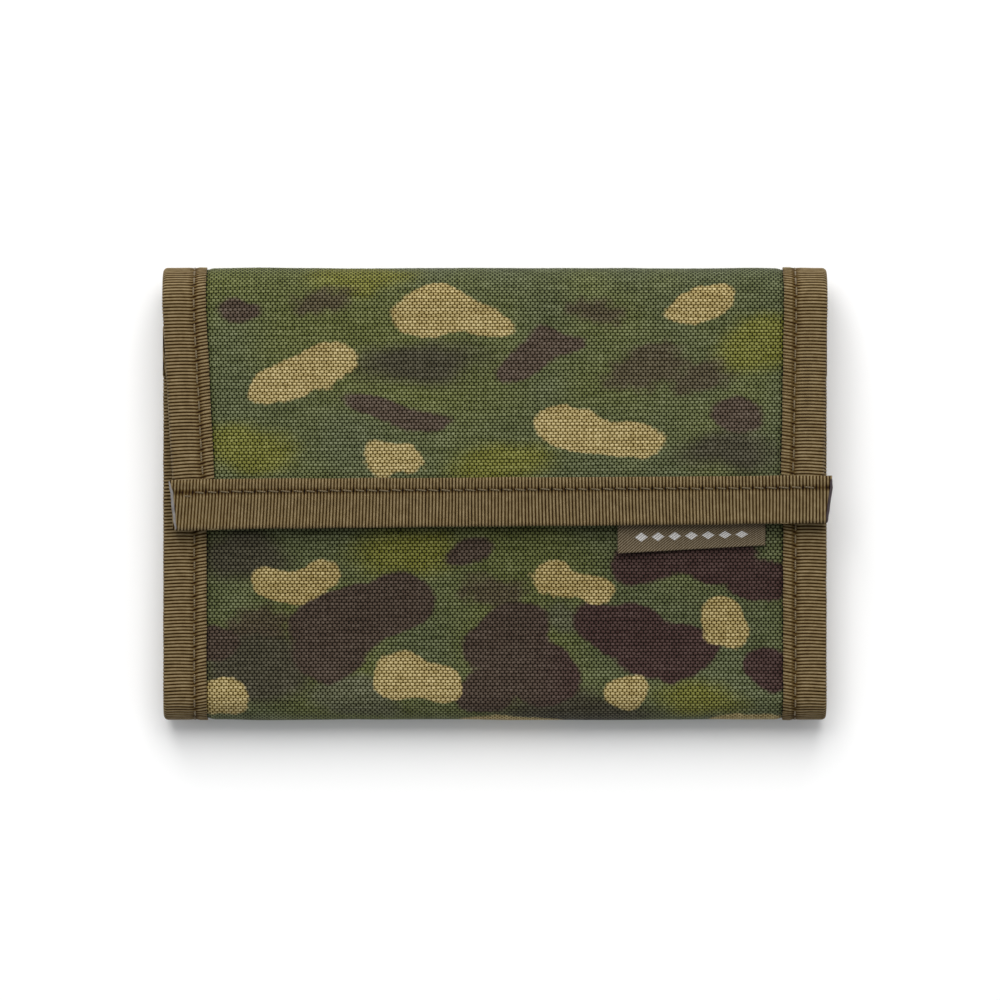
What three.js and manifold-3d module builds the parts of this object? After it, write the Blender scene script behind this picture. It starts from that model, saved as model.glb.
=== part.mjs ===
// A trifold wallet of woven nylon with grosgrain-bound edges, shut and lying on its back.
//
// One long strip makes the whole wallet. It is folded up at the bottom fold, so that the front panel
// lies on the back panel, and down at the top fold, so that the short flap lies on the front panel.
// X is the width, Y the height of the shut wallet and Z its thickness. Sizes are in millimetres.
// A layer is a pair of depths, [from, to], measured from the outer face of its panel inwards.

import * as THREE from 'three';
import Module from 'manifold-3d';
import { mergeVertices } from 'three/addons/utils/BufferGeometryUtils.js';

const wasm = await Module();
wasm.setup();

// ---------------------------------------------------------------- driving dimensions

const WIDTH = 131;
const HEIGHT = 89.5;
const CLEAR = 0.3;               // between a piece and what it rests on
const STACK_SLACK = 0.5;         // between the pockets of the back and of the front panel

const TAPE = 0.3;                // grosgrain tape
const SIDE_TAPE_WIDTH = 8.6;     // as it shows on one face
const EDGE_TAPE_WIDTH = 9.7;
const EDGE_TAPE_OVERHANG = 0.4;  // past the side tapes, at each end
const BILL_TAPE_WIDTH = 8;

const SHELL = 1.0;               // outer fabric with its backing
const LINING = 0.4;
const POCKET = 0.4;
const FILM = 0.15;
const WINDOW_FRAME = 0.3;
const LOOP = 1.0;
const HOOK = 0.8;
const LABEL = 0.4;
const SLIDER_UNDER = 0.4;        // the slider's plate next to the outer fabric
const SLIDER_OVER = 0.5;         // and its plate on the inside of the wallet
const TEETH = 0.8;
const ZIP_TAPE_STEP = 0.2;       // from a face of the teeth to the zip tape's
const PULL = 0.4;

const FLAP_EDGE = -6.55;         // free edge of the flap
const FRONT_EDGE = 33;           // free edge of the front panel, under the flap
const LIP = 45;                  // degrees of a fold that its panel carries; the spine has the rest
const FOLD_STEPS = 5;            // facets in each lip
const POCKET_MARGIN = 0.4;       // between a pocket and the side tapes
const THROUGH = 1;               // a cutter sticks out this far at each face
const WELD = 1e-5;               // corners this close are one corner

// ---------------------------------------------------------------- layers, from the outer face inwards

/** The layer of this thickness that comes next inside another one. */
function inside(layer, thickness) {
  return [layer[1] + CLEAR, layer[1] + CLEAR + thickness];
}

const tapeLayer = [0, TAPE];
const shellLayer = [0, SHELL];
const tongueLayer = [TAPE + CLEAR, SHELL];      // the shell's edge, under the side tape
const proudTapeLayer = [-CLEAR - TAPE, -CLEAR]; // an edge tape, over the side tapes
const liningLayer = inside(shellLayer, LINING);
const foldTapeLayer = inside(liningLayer, TAPE);

const billTapeLayer = inside(liningLayer, TAPE);
const billLayer = inside(billTapeLayer, POCKET);
const backTapeLayer = inside(billLayer, TAPE);
const cardLayer1 = inside(billLayer, POCKET);
const cardLayer2 = inside(cardLayer1, POCKET);
const filmLayer = inside(cardLayer2, FILM);
const frameLayer = inside(filmLayer, WINDOW_FRAME);

const sliderUnderLayer = inside(liningLayer, SLIDER_UNDER);
const teethLayer = inside(sliderUnderLayer, TEETH);
const zipTapeLayer = [teethLayer[0] + ZIP_TAPE_STEP, teethLayer[1] - ZIP_TAPE_STEP];
const coinLayer = inside(zipTapeLayer, POCKET);
const sliderOverLayer = inside(teethLayer, SLIDER_OVER);
const frontTapeLayer = inside(coinLayer, TAPE);
const frontEdgeLayer = inside(frontTapeLayer, TAPE);
const pullLayer = inside(sliderOverLayer, PULL);

const loopLayer = [-CLEAR - LOOP, -CLEAR];
const hookLayer = inside(liningLayer, HOOK);
const flapEdgeLayer = inside(foldTapeLayer, TAPE);
const labelLayer = inside(flapEdgeLayer, LABEL);

// ---------------------------------------------------------------- where the panels and folds are

const frontFace = frameLayer[1] + STACK_SLACK + pullLayer[1];
const flapFace = frontFace + CLEAR + LOOP + CLEAR + hookLayer[1];

const bottomFold = { y: -HEIGHT / 2 + frontFace / 2, radius: frontFace / 2, side: -1 };
const topFold = { y: HEIGHT / 2 - flapFace / 2, radius: flapFace / 2, side: 1 };

const edge = WIDTH / 2;
const tapeInner = edge - SIDE_TAPE_WIDTH;
const layerEdge = edge - TAPE - CLEAR;       // where the layers end inside the folded side tape
const pocketEdge = tapeInner - POCKET_MARGIN;

/** A point of a fold at this depth. Angle 0 is on the back panel and 180 on the panel above it. */
function foldPoint(fold, depth, degrees, gap = 0) {
  const r = fold.radius - depth;
  const a = THREE.MathUtils.degToRad(degrees) + gap / r;
  return new THREE.Vector2(fold.y + fold.side * r * Math.sin(a), fold.radius - r * Math.cos(a));
}

/** Points along a fold at this depth, drawn in by half a clearance where it ends at a hinge line. */
function foldPoints(fold, depth, from, to) {
  const half = CLEAR / 2;
  const steps = Math.round(Math.abs(to - from) / LIP) * FOLD_STEPS;
  const points = [];
  for (let i = 0; i <= steps; i += 1) {
    const degrees = from + (to - from) * i / steps;
    const atHinge = degrees === LIP || degrees === 180 - LIP;
    const inward = Math.sign((from + to) / 2 - degrees);
    points.push(foldPoint(fold, depth, degrees, atHinge ? inward * half : 0));
  }
  return points;
}

// Each panel is a run of points at one depth: its part of the folds it meets, and its free end.
const runs = {
  back: (depth) => [
    ...foldPoints(bottomFold, depth, LIP, 0),
    ...foldPoints(topFold, depth, 0, LIP),
  ],
  bottomSpine: (depth) => foldPoints(bottomFold, depth, LIP, 180 - LIP),
  topSpine: (depth) => foldPoints(topFold, depth, LIP, 180 - LIP),
  front: (depth) => [
    ...foldPoints(bottomFold, depth, 180 - LIP, 180),
    new THREE.Vector2(FRONT_EDGE - TAPE - CLEAR, frontFace - depth),
  ],
  flap: (depth) => [
    ...foldPoints(topFold, depth, 180 - LIP, 180),
    new THREE.Vector2(FLAP_EDGE + TAPE + CLEAR, flapFace - depth),
  ],
};

// ---------------------------------------------------------------- solids

/** Extrudes an outline of the YZ plane across the wallet. */
function across(points, x0, x1) {
  const geometry = new THREE.ExtrudeGeometry(new THREE.Shape(points), {
    depth: x1 - x0,
    bevelEnabled: false,
  });
  const fromOutline = new THREE.Matrix4().makeBasis(
    new THREE.Vector3(0, 1, 0),
    new THREE.Vector3(0, 0, 1),
    new THREE.Vector3(1, 0, 0),
  );
  return geometry.applyMatrix4(fromOutline).translate(x0, 0, 0);
}

/** One layer of a panel, from x0 to x1. */
function layerOf(run, layer, x0, x1) {
  return across([...run(layer[0]), ...run(layer[1]).reverse()], x0, x1);
}

/** A flat plate between two heights. */
function plate(x0, x1, y0, y1, z0, z1) {
  const geometry = new THREE.BoxGeometry(x1 - x0, y1 - y0, z1 - z0);
  return geometry.translate((x0 + x1) / 2, (y0 + y1) / 2, (z0 + z1) / 2);
}

/** A plate in a layer of the back panel. */
function onBack(x0, x1, y0, y1, layer) {
  return plate(x0, x1, y0, y1, layer[0], layer[1]);
}

/** A plate in a layer of the front panel. */
function onFront(x0, x1, y0, y1, layer) {
  return plate(x0, x1, y0, y1, frontFace - layer[1], frontFace - layer[0]);
}

/** A plate in a layer of the flap. */
function onFlap(x0, x1, y0, y1, layer) {
  return plate(x0, x1, y0, y1, flapFace - layer[1], flapFace - layer[0]);
}

/** Tape folded over an edge that runs across the wallet: its edge is at y, and it reaches that far. */
function edgeTape(y, reach, zLow, zHigh, halfLength) {
  const inward = Math.sign(reach) * TAPE;
  const outline = [
    [y, zLow],
    [y + reach, zLow],
    [y + reach, zLow + TAPE],
    [y + inward, zLow + TAPE],
    [y + inward, zHigh - TAPE],
    [y + reach, zHigh - TAPE],
    [y + reach, zHigh],
    [y, zHigh],
  ];
  const points = outline.map(([py, pz]) => new THREE.Vector2(py, pz));
  return across(points, -halfLength, halfLength);
}

function toManifold(geometry) {
  const bare = geometry.clone();
  bare.deleteAttribute('normal');
  bare.deleteAttribute('uv');
  const merged = mergeVertices(bare, WELD);
  return new wasm.Manifold(new wasm.Mesh({
    numProp: 3,
    vertProperties: new Float32Array(merged.attributes.position.array),
    triVerts: new Uint32Array(merged.index.array),
  }));
}

function fromManifold(solid) {
  const mesh = solid.getMesh();
  const geometry = new THREE.BufferGeometry();
  geometry.setAttribute('position', new THREE.BufferAttribute(mesh.vertProperties, 3));
  geometry.setIndex(new THREE.BufferAttribute(mesh.triVerts, 1));
  geometry.computeVertexNormals();
  return geometry;
}

function join(...geometries) {
  const solids = geometries.map(toManifold);
  return fromManifold(solids.reduce((all, next) => all.add(next)));
}

/** A layer made deeper, for a cutter that goes right through it. */
function throughLayer(layer) {
  return [layer[0] - THROUGH, layer[1] + THROUGH];
}

function cut(geometry, hole) {
  return fromManifold(toManifold(geometry).subtract(toManifold(hole)));
}

// ---------------------------------------------------------------- materials

function material(colour, roughness, metalness = 0) {
  return new THREE.MeshStandardMaterial({ color: colour, roughness, metalness });
}

const nylon = material('#515434', 0.9);
const grosgrain = material('#605239', 0.85);
const liningCloth = material('#4b432f', 0.8);
const pileCloth = material('#4a4130', 0.95);
const labelCloth = material('#514738', 0.8);
const coil = material('#2c2821', 0.5);
const zipMetal = material('#3a352c', 0.4, 0.8);
const clearFilm = new THREE.MeshStandardMaterial({
  color: '#d9dcd6',
  roughness: 0.15,
  metalness: 0,
  transparent: true,
  opacity: 0.35,
});

// ---------------------------------------------------------------- pieces that every panel has

const wallet = new THREE.Group();
wallet.name = 'trifold_wallet';

function add(name, geometry, look) {
  const mesh = new THREE.Mesh(geometry, look);
  mesh.name = name;
  wallet.add(mesh);
}

/** Outer fabric: full thickness between the side tapes, and thinner tongues that go in under them. */
function shell(run) {
  const middle = tapeInner - CLEAR;
  return join(
    layerOf(run, shellLayer, -middle, middle),
    layerOf(run, tongueLayer, -layerEdge, layerEdge),
  );
}

function lining(run) {
  return layerOf(run, liningLayer, -layerEdge, layerEdge);
}

/** Grosgrain folded over a side edge: a leg on each face of the panel, and the fold between them. */
function sideTape(run, innerLayer, side) {
  const ends = (a, b) => [Math.min(side * a, side * b), Math.max(side * a, side * b)];
  return join(
    layerOf(run, tapeLayer, ...ends(tapeInner, edge)),
    layerOf(run, [0, innerLayer[1]], ...ends(edge - TAPE, edge)),
    layerOf(run, innerLayer, ...ends(tapeInner, edge)),
  );
}

const panels = [
  ['back', runs.back, backTapeLayer],
  ['bottom_spine', runs.bottomSpine, foldTapeLayer],
  ['top_spine', runs.topSpine, foldTapeLayer],
  ['front', runs.front, frontTapeLayer],
  ['flap', runs.flap, foldTapeLayer],
];

for (const [name, run, innerLayer] of panels) {
  add(`${name}_shell`, shell(run), nylon);
  add(`${name}_lining`, lining(run), liningCloth);
  add(`${name}_binding_left`, sideTape(run, innerLayer, -1), grosgrain);
  add(`${name}_binding_right`, sideTape(run, innerLayer, 1), grosgrain);
}

// ---------------------------------------------------------------- inside the back panel

const BILL_TOP = 31;
const POCKET_FOOT = bottomFold.y + 1;   // the pockets are sewn in here, above the bottom fold
const CARD_HALF_WIDTH = 48;
const CARD_TOP_1 = 19;
const CARD_TOP_2 = 11;
const WINDOW_TOP = 2;
const WINDOW_BORDER = 6;
const FILM_INSET = 1;            // from the edges of the window's frame

add(
  'bill_pocket_panel',
  onBack(-layerEdge, layerEdge, POCKET_FOOT, BILL_TOP - TAPE - CLEAR, billLayer),
  liningCloth,
);
add(
  'bill_pocket_binding',
  edgeTape(BILL_TOP, -BILL_TAPE_WIDTH, billTapeLayer[0], backTapeLayer[1], pocketEdge),
  grosgrain,
);
add(
  'card_pocket_rear',
  onBack(-CARD_HALF_WIDTH, CARD_HALF_WIDTH, POCKET_FOOT, CARD_TOP_1, cardLayer1),
  liningCloth,
);
add(
  'card_pocket_middle',
  onBack(-CARD_HALF_WIDTH, CARD_HALF_WIDTH, POCKET_FOOT, CARD_TOP_2, cardLayer2),
  liningCloth,
);
add(
  'id_window_film',
  onBack(
    -CARD_HALF_WIDTH + FILM_INSET,
    CARD_HALF_WIDTH - FILM_INSET,
    POCKET_FOOT + FILM_INSET,
    WINDOW_TOP - FILM_INSET,
    filmLayer,
  ),
  clearFilm,
);

function windowFrame() {
  const border = WINDOW_BORDER;
  const outer = onBack(-CARD_HALF_WIDTH, CARD_HALF_WIDTH, POCKET_FOOT, WINDOW_TOP, frameLayer);
  const hole = onBack(
    -CARD_HALF_WIDTH + border,
    CARD_HALF_WIDTH - border,
    POCKET_FOOT + border,
    WINDOW_TOP - border,
    throughLayer(frameLayer),
  );
  return cut(outer, hole);
}

add('id_window_frame', windowFrame(), liningCloth);

// ---------------------------------------------------------------- hook-and-loop closure and label

const LOOP_HALF_WIDTH = 52;
const HOOK_HALF_WIDTH = 50;
const LOOP_FOOT = 3.6;
const LOOP_TOP = FRONT_EDGE - EDGE_TAPE_WIDTH - 2 * CLEAR;
const HOOK_INSET = 0.8;
const LABEL_LEFT = 24.2;
const LABEL_RIGHT = 53.3;
const LABEL_DROP = 5.2;          // how far it hangs out below the flap
const LABEL_TUCK = 7;            // how far it runs up behind the flap's tape

add(
  'loop_patch',
  onFront(-LOOP_HALF_WIDTH, LOOP_HALF_WIDTH, LOOP_FOOT, LOOP_TOP, loopLayer),
  pileCloth,
);
add(
  'hook_patch',
  onFlap(
    -HOOK_HALF_WIDTH,
    HOOK_HALF_WIDTH,
    LOOP_FOOT + HOOK_INSET,
    LOOP_TOP - HOOK_INSET,
    hookLayer,
  ),
  pileCloth,
);
add(
  'flap_edge_binding',
  edgeTape(
    FLAP_EDGE,
    EDGE_TAPE_WIDTH,
    flapFace - flapEdgeLayer[1],
    flapFace - proudTapeLayer[0],
    edge + EDGE_TAPE_OVERHANG,
  ),
  grosgrain,
);
add(
  'woven_label',
  onFlap(LABEL_LEFT, LABEL_RIGHT, FLAP_EDGE - LABEL_DROP, FLAP_EDGE + LABEL_TUCK, labelLayer),
  labelCloth,
);
add(
  'front_edge_binding',
  edgeTape(
    FRONT_EDGE,
    -EDGE_TAPE_WIDTH,
    frontFace - frontEdgeLayer[1],
    frontFace - proudTapeLayer[0],
    edge,
  ),
  grosgrain,
);

// ---------------------------------------------------------------- coin pocket inside the front panel

const ZIP_Y = 12;
const ZIP_HALF_LENGTH = 46;      // of the teeth
const ZIP_WINDOW_HALF = 4.5;     // of the slot in the pocket, across the zip
const ZIP_TAPE_HALF = 8;
const ZIP_TAPE_TAIL = 3;         // of tape beyond the stops
const TEETH_GAP_HALF = 0.8;      // the two rows stand apart, so that the slider's bridge passes
const TEETH_HALF = 1.8;
const STOP_LENGTH = 1.5;
const SLIDER_HALF_WIDTH = 2.7;
const SLIDER_LENGTH = 8;
const SLIDER_X = 41;             // middle of the slider, with the zip shut
const BRIDGE_HALF_WIDTH = 0.5;
const BRIDGE_LENGTH = 2.5;
const STUD_RADIUS = 0.6;
const STUD_INSET = 2;            // from the slider's left end
const STUD_FACETS = 16;
const PULL_LENGTH = 13;
const PULL_WIDTH = 4;

const zipEnd = ZIP_HALF_LENGTH + CLEAR + STOP_LENGTH;
const studX = SLIDER_X - SLIDER_LENGTH / 2 + STUD_INSET;

function coinPanel() {
  const outer = onFront(
    -layerEdge,
    layerEdge,
    POCKET_FOOT,
    FRONT_EDGE - TAPE - CLEAR,
    coinLayer,
  );
  const slot = onFront(
    -zipEnd,
    zipEnd,
    ZIP_Y - ZIP_WINDOW_HALF,
    ZIP_Y + ZIP_WINDOW_HALF,
    throughLayer(coinLayer),
  );
  return cut(outer, slot);
}

add('coin_pocket_panel', coinPanel(), liningCloth);

/** A strip of the zip on one side of its middle line, between two distances from it. */
function zipStrip(side, near, far, halfLength, layer) {
  const y0 = ZIP_Y + Math.min(side * near, side * far);
  const y1 = ZIP_Y + Math.max(side * near, side * far);
  return onFront(-halfLength, halfLength, y0, y1, layer);
}

for (const [name, side] of [['upper', 1], ['lower', -1]]) {
  add(
    `zip_tape_${name}`,
    zipStrip(side, TEETH_HALF + CLEAR, ZIP_TAPE_HALF, zipEnd + ZIP_TAPE_TAIL, zipTapeLayer),
    liningCloth,
  );
  add(
    `zip_teeth_${name}`,
    zipStrip(side, TEETH_GAP_HALF, TEETH_HALF, ZIP_HALF_LENGTH, teethLayer),
    coil,
  );
}

for (const [name, side] of [['left', -1], ['right', 1]]) {
  const near = side * (ZIP_HALF_LENGTH + CLEAR);
  const far = side * zipEnd;
  add(
    `zip_stop_${name}`,
    onFront(
      Math.min(near, far),
      Math.max(near, far),
      ZIP_Y - TEETH_HALF,
      ZIP_Y + TEETH_HALF,
      teethLayer,
    ),
    zipMetal,
  );
}

/** Slider: a plate on each side of the teeth, the bridge between the rows and the stud of the pull. */
function slider() {
  const x0 = SLIDER_X - SLIDER_LENGTH / 2;
  const x1 = SLIDER_X + SLIDER_LENGTH / 2;
  const y0 = ZIP_Y - SLIDER_HALF_WIDTH;
  const y1 = ZIP_Y + SLIDER_HALF_WIDTH;
  const studHeight = pullLayer[1] - sliderOverLayer[0];
  const stud = new THREE.CylinderGeometry(STUD_RADIUS, STUD_RADIUS, studHeight, STUD_FACETS);
  stud.rotateX(Math.PI / 2);
  stud.translate(studX, ZIP_Y, frontFace - (pullLayer[1] + sliderOverLayer[0]) / 2);
  return join(
    onFront(x0, x1, y0, y1, sliderUnderLayer),
    onFront(x0, x1, y0, y1, sliderOverLayer),
    onFront(
      x1 - BRIDGE_LENGTH,
      x1,
      ZIP_Y - BRIDGE_HALF_WIDTH,
      ZIP_Y + BRIDGE_HALF_WIDTH,
      [sliderUnderLayer[0], sliderOverLayer[1]],
    ),
    stud,
  );
}

/** Pull tab: a flat tongue with a round end, hung on the slider's stud. */
function pull() {
  const half = PULL_WIDTH / 2;
  const shape = new THREE.Shape();
  shape.absarc(0, 0, half, -Math.PI / 2, Math.PI / 2);
  shape.lineTo(-PULL_LENGTH + half, half);
  shape.lineTo(-PULL_LENGTH + half, -half);
  const eye = new THREE.Path();
  eye.absarc(0, 0, STUD_RADIUS + CLEAR, 0, 2 * Math.PI, true);
  shape.holes.push(eye);
  const geometry = new THREE.ExtrudeGeometry(shape, {
    depth: pullLayer[1] - pullLayer[0],
    bevelEnabled: false,
    curveSegments: STUD_FACETS / 2,
  });
  return geometry.translate(studX, ZIP_Y, frontFace - pullLayer[1]);
}

add('zip_slider', slider(), zipMetal);
add('zip_pull', pull(), zipMetal);

export default wallet;
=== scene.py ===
"""A trifold wallet of camouflage nylon, shut and lying on its back.

The wallet is one long strip: front panel, bottom fold, back panel, top fold and flap. Each sheet of
it is made here as a surface over two coordinates in millimetres: x across the wallet, and s along
the strip's outer face, with s = 0 where the back panel meets the bottom fold. Depth is measured
from the outer face inwards.
"""
import math
from functools import partialmethod

import bpy
import numpy as np
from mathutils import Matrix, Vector


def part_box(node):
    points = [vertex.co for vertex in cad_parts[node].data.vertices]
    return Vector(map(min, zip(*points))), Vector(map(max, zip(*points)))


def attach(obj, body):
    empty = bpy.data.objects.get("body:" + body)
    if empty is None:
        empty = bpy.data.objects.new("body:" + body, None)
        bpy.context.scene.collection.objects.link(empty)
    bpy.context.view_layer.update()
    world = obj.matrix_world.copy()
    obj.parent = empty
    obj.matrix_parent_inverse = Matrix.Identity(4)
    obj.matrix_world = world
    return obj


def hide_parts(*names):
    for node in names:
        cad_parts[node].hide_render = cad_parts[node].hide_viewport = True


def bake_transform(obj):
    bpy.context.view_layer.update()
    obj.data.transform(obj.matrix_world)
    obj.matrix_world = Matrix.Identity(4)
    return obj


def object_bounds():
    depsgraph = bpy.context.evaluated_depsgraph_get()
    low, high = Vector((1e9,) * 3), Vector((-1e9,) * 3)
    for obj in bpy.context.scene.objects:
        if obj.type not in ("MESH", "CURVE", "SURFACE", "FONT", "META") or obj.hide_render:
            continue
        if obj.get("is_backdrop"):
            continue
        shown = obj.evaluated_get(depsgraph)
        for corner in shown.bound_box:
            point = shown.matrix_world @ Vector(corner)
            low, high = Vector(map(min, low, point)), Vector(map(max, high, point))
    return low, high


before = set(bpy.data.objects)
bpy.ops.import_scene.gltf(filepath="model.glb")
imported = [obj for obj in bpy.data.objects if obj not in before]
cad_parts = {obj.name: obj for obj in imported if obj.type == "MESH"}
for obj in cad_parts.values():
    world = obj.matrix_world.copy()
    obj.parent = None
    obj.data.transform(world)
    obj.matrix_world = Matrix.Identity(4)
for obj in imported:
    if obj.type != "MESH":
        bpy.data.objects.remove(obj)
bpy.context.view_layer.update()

MM = 0.001


def box_mm(node):
    low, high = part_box(node)
    return np.array(low) / MM, np.array(high) / MM


# -------- the strip, from the CAD frame

SIDE_LEG = 8.6  # how wide the side tape is on each face
EDGE_LEG = 9.7  # the same for the tapes over the free edges
EDGE = box_mm("back_binding_right")[1][0]
TAPE_INNER = EDGE - SIDE_LEG
LAYER_EDGE = box_mm("back_lining")[1][0]
FRONT_FACE = box_mm("front_shell")[1][2]
FLAP_FACE = box_mm("flap_shell")[1][2]
BOTTOM_R = FRONT_FACE / 2
TOP_R = FLAP_FACE / 2
BOTTOM_Y = box_mm("bottom_spine_shell")[0][1] + BOTTOM_R
TOP_Y = box_mm("top_spine_shell")[1][1] - TOP_R
FRONT_EDGE = box_mm("front_edge_binding")[1][1]
FLAP_EDGE = box_mm("flap_edge_binding")[0][1]

BACK_LENGTH = TOP_Y - BOTTOM_Y
FLAP_START = BACK_LENGTH + math.pi * TOP_R  # s where the flap is flat again
FRONT_START = -math.pi * BOTTOM_R
FLAP_LENGTH = TOP_Y - FLAP_EDGE
FRONT_LENGTH = FRONT_EDGE - BOTTOM_Y
FLAP_END = FLAP_START + FLAP_LENGTH
FRONT_END = FRONT_START - FRONT_LENGTH
TOP_MIDDLE = BACK_LENGTH + math.pi * TOP_R / 2
BOTTOM_MIDDLE = -math.pi * BOTTOM_R / 2

# Sections of the strip: the range of s, how each bends (bodies, start and end of the bend), and the
# CAD bodies whose cloth it stands for.
SECTIONS = {
    "front": (
        (FRONT_END, BOTTOM_MIDDLE),
        ("bottom_spine", "front", (BOTTOM_Y - BOTTOM_R, BOTTOM_R), (BOTTOM_Y, FRONT_FACE)),
        ("front", "bottom_spine"),
    ),
    "back": (
        (BOTTOM_MIDDLE, BACK_LENGTH),
        ("back", "bottom_spine", (BOTTOM_Y, 0), (BOTTOM_Y - BOTTOM_R, BOTTOM_R)),
        ("back",),
    ),
    "top": (
        (BACK_LENGTH, TOP_MIDDLE),
        ("back", "top_spine", (TOP_Y, 0), (TOP_Y + TOP_R, TOP_R)),
        ("top_spine",),
    ),
    "flap": (
        (TOP_MIDDLE, FLAP_END),
        ("top_spine", "flap", (TOP_Y + TOP_R, TOP_R), (TOP_Y, FLAP_FACE)),
        ("flap",),
    ),
}

RIB = 0.665  # grosgrain, from rib to rib
WARP = 0.465  # the outer fabric's yarns across the wallet
WEFT = 0.61  # and up it
STITCH = 2.5  # from one stitch to the next
TAPE = 0.3  # how thick the grosgrain is
TAPE_LAP = TAPE - 0.02  # the same where it lies on cloth
SIDE_TAPE_FLAT = 20.6  # the side tape's whole width
SEAM_INSET = 2.4  # from the tape's edge to its stitching
OUTER_DEPTH = 1.0  # the outer fabric with its backing
LINING_DEPTHS = (1.3, 1.7)
FOLD_TAPE_DEPTH = 2.3  # inner face of the side tape where nothing but lining is inside
BACK_TAPE_DEPTH = 3.6
FRONT_TAPE_DEPTH = 4.6
POCKET_RISE = (1.2, 5.5)  # from the bottom fold, where the side tapes get thicker
HEM_RISE = (9.0, 10.4)  # from a free edge, where the fabric comes out of the edge tape
SETTLE = 0.95  # how far the flap's free edge sinks
SQUASH = 0.3  # and how much thinner its layers get there


def step(x, low, high):
    """0 below low, 1 above high, and smooth between them."""
    t = np.clip((x - low) / (high - low), 0, 1)
    return t * t * (3 - 2 * t)


def wander(x, y, size, seed):
    """Smooth noise from -1 to 1, with lumps of this size."""
    table = np.random.default_rng(seed).uniform(-1, 1, (97, 97))
    gx, gy = x / size + 31.7, y / size + 17.3
    ix, iy = np.floor(gx).astype(int), np.floor(gy).astype(int)
    fx, fy = gx - ix, gy - iy
    fx = fx * fx * (3 - 2 * fx)
    fy = fy * fy * (3 - 2 * fy)

    def corner(right, up):
        return table[(ix + right) % 97, (iy + up) % 97]

    low = corner(0, 0) * (1 - fx) + corner(1, 0) * fx
    high = corner(0, 1) * (1 - fx) + corner(1, 1) * fx
    return low * (1 - fy) + high * fy


def strip(s, depth):
    """The strip before any settling: y and z."""
    bottom = np.clip(-s / BOTTOM_R, 0, math.pi)
    top = np.clip((s - BACK_LENGTH) / TOP_R, 0, math.pi)
    flat_back = np.clip(s, 0, BACK_LENGTH)
    past_front = np.clip(FRONT_START - s, 0, None)
    past_flap = np.clip(s - FLAP_START, 0, None)
    on_top = s > BACK_LENGTH
    angle = np.where(on_top, top, bottom)
    radius = np.where(on_top, TOP_R, BOTTOM_R)
    side = np.where(on_top, 1.0, -1.0)
    ny = side * np.sin(angle)
    nz = -np.cos(angle)
    y = BOTTOM_Y + flat_back + (radius - depth) * ny + past_front - past_flap
    return y, radius + (radius - depth) * nz


def place(x, s, depth):
    """A point of the wallet as it lies: the flap is a little askew and its free edge settles."""
    x, s, depth = np.broadcast_arrays(*(np.asarray(v, float) for v in (x, s, depth)))
    down_flap = np.clip(s - FLAP_START, 0, None)
    near_edge = step(down_flap, FLAP_LENGTH - 12, FLAP_LENGTH - 1)
    y, z = strip(s, depth * (1 - SQUASH * near_edge))
    z = z - SETTLE * near_edge
    askew = down_flap / FLAP_LENGTH
    left = np.clip(-x / EDGE, 0, 1)
    right = np.clip(x / EDGE, 0, 1)
    moved = x + askew * (2.55 * left - 0.85 * right)
    corner = np.clip((-x - 38) / 27, 0, 1)
    y = y + askew ** 2 * (0.12 + 0.62 * x / EDGE - 0.2 * corner ** 2)
    return np.stack([moved, y, z], -1)


# -------- meshes

def make(name, points, faces, uv, fields=None):
    """A mesh object from points in millimetres, with a UV map in millimetres and float fields."""
    mesh = bpy.data.meshes.new(name)
    mesh.from_pydata((points * MM).tolist(), [], faces)
    layer = mesh.uv_layers.new(name="cloth")
    index = np.empty(len(mesh.loops), int)
    mesh.loops.foreach_get("vertex_index", index)
    layer.data.foreach_set("uv", uv[index].astype(np.float32).ravel())
    for key, values in (fields or {}).items():
        attribute = mesh.attributes.new(key, "FLOAT", "POINT")
        attribute.data.foreach_set("value", np.asarray(values, np.float32).ravel())
    mesh.shade_smooth()
    mesh.update()
    obj = bpy.data.objects.new(name, mesh)
    bpy.context.scene.collection.objects.link(obj)
    return obj


def slab(name, outer, inner, uv, fields=None):
    """A closed sheet between two grids of points."""
    rows, cols = outer.shape[:2]
    index = np.arange(rows * cols).reshape(rows, cols)
    under = index + rows * cols

    def quads(*corners):
        return np.stack([corner.ravel() for corner in corners], -1)

    faces = np.concatenate([
        quads(index[:-1, :-1], index[:-1, 1:], index[1:, 1:], index[1:, :-1]),
        quads(under[:-1, :-1], under[1:, :-1], under[1:, 1:], under[:-1, 1:]),
        quads(index[0, :-1], under[0, :-1], under[0, 1:], index[0, 1:]),
        quads(index[-1, :-1], index[-1, 1:], under[-1, 1:], under[-1, :-1]),
        quads(index[:-1, 0], index[1:, 0], under[1:, 0], under[:-1, 0]),
        quads(index[:-1, -1], under[:-1, -1], under[1:, -1], index[1:, -1]),
    ])
    r, c = rows // 2, cols // 2
    across = outer[r, c + 1] - outer[r, c]
    along = outer[r + 1, c] - outer[r, c]
    if np.dot(np.cross(across, along), outer[r, c] - inner[r, c]) < 0:
        faces = faces[:, ::-1]
    points = np.concatenate([outer.reshape(-1, 3), inner.reshape(-1, 3)])
    both = {key: np.tile(np.ravel(value), 2) for key, value in (fields or {}).items()}
    return make(name, points, faces.tolist(), np.tile(uv.reshape(-1, 2), (2, 1)), both)


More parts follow.
